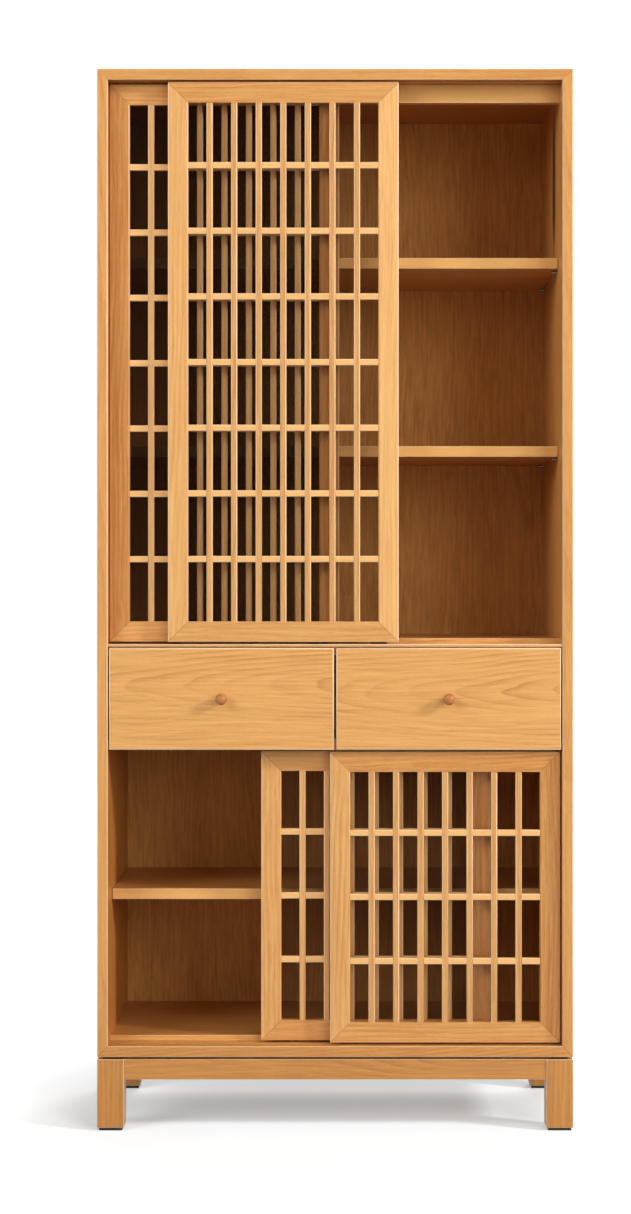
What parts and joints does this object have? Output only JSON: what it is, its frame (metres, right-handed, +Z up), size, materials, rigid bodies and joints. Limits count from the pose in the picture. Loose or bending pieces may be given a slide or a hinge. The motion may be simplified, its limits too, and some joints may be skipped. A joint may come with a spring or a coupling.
{
  "type": "mizuya kitchen cabinet",
  "caption": "Tall wooden kitchen cabinet on a leg frame, with lattice sliding doors over tinted panes, open shelves behind them and a row of drawers between.",
  "frame": {"origin": "on the floor, under the centre of the whole object's outline, knobs included", "axes": "+X to the right seen from the front, +Y to the back, +Z up"},
  "size_m": [0.8, 0.421, 1.784],
  "materials": {
    "case_wood": "satin",
    "shelf_wood": "satin",
    "back_wood": "satin",
    "door_wood": "satin",
    "lattice_wood": "satin",
    "drawer_wood": "satin",
    "hidden_wood": "matt",
    "knob_wood": "satin",
    "base_wood": "satin",
    "tinted_glass": "clear",
    "glide_plastic": "smooth",
    "spacer_plastic": "matt",
    "pin_steel": "satin",
    "screw_steel": "satin",
    "pad_rubber": "matt"
  },
  "bodies": {
    "cabinet": {"top_panel": "case_wood", "bottom_panel": "case_wood", "side_panel_left": "case_wood", "side_panel_right": "case_wood", "back_panel_upper": "back_wood", "back_panel_lower": "back_wood", "divider_above_drawers": "case_wood", "divider_below_drawers": "case_wood", "drawer_partition": "hidden_wood", "head_rail": "case_wood", "floor_boards": "shelf_wood", "shelf_upper_high": "shelf_wood", "shelf_upper_low": "shelf_wood", "shelf_lower": "shelf_wood", "shelf_pins": "pin_steel", "drawer_runners": "hidden_wood", "base_rails_long": "base_wood", "base_rails_side": "base_wood", "legs": "base_wood", "foot_pads": "pad_rubber", "base_spacers": "spacer_plastic", "base_screws": "screw_steel"},
    "upper_front_door": {"upper_front_door_stiles": "door_wood", "upper_front_door_rails": "door_wood", "upper_front_door_uprights": "lattice_wood", "upper_front_door_crossbars": "lattice_wood", "upper_front_door_glass": "tinted_glass", "upper_front_door_glass_beads": "lattice_wood", "upper_front_door_glides": "glide_plastic"},
    "upper_rear_door": {"upper_rear_door_stiles": "door_wood", "upper_rear_door_rails": "door_wood", "upper_rear_door_uprights": "lattice_wood", "upper_rear_door_crossbars": "lattice_wood", "upper_rear_door_glass": "tinted_glass", "upper_rear_door_glass_beads": "lattice_wood", "upper_rear_door_glides": "glide_plastic"},
    "lower_front_door": {"lower_front_door_stiles": "door_wood", "lower_front_door_rails": "door_wood", "lower_front_door_uprights": "lattice_wood", "lower_front_door_crossbars": "lattice_wood", "lower_front_door_glass": "tinted_glass", "lower_front_door_glass_beads": "lattice_wood", "lower_front_door_glides": "glide_plastic"},
    "lower_rear_door": {"lower_rear_door_stiles": "door_wood", "lower_rear_door_rails": "door_wood", "lower_rear_door_uprights": "lattice_wood", "lower_rear_door_crossbars": "lattice_wood", "lower_rear_door_glass": "tinted_glass", "lower_rear_door_glass_beads": "lattice_wood", "lower_rear_door_glides": "glide_plastic"},
    "drawer_left": {"drawer_left_front": "drawer_wood", "drawer_left_box_sides": "hidden_wood", "drawer_left_box_back": "hidden_wood", "drawer_left_box_bottom": "back_wood", "drawer_left_knob": "knob_wood"},
    "drawer_right": {"drawer_right_front": "drawer_wood", "drawer_right_box_sides": "hidden_wood", "drawer_right_box_back": "hidden_wood", "drawer_right_box_bottom": "back_wood", "drawer_right_knob": "knob_wood"}
  },
  "joints": [
    {"name": "upper_front_door_slide", "type": "slide", "parent": "cabinet", "child": "upper_front_door", "axis": [1, 0, 0], "range_m": [-0.09986, 0.27414]},
    {"name": "upper_rear_door_slide", "type": "slide", "parent": "cabinet", "child": "upper_rear_door", "axis": [1, 0, 0], "range_m": [0, 0.374]},
    {"name": "lower_front_door_slide", "type": "slide", "parent": "cabinet", "child": "lower_front_door", "axis": [1, 0, 0], "range_m": [-0.3725, 0.0015]},
    {"name": "lower_rear_door_slide", "type": "slide", "parent": "cabinet", "child": "lower_rear_door", "axis": [1, 0, 0], "range_m": [-0.25582, 0.11818]},
    {"name": "drawer_left_slide", "type": "slide", "parent": "cabinet", "child": "drawer_left", "axis": [0, -1, 0], "range_m": [0, 0.28]},
    {"name": "drawer_right_slide", "type": "slide", "parent": "cabinet", "child": "drawer_right", "axis": [0, -1, 0], "range_m": [0, 0.28]}
  ]
}
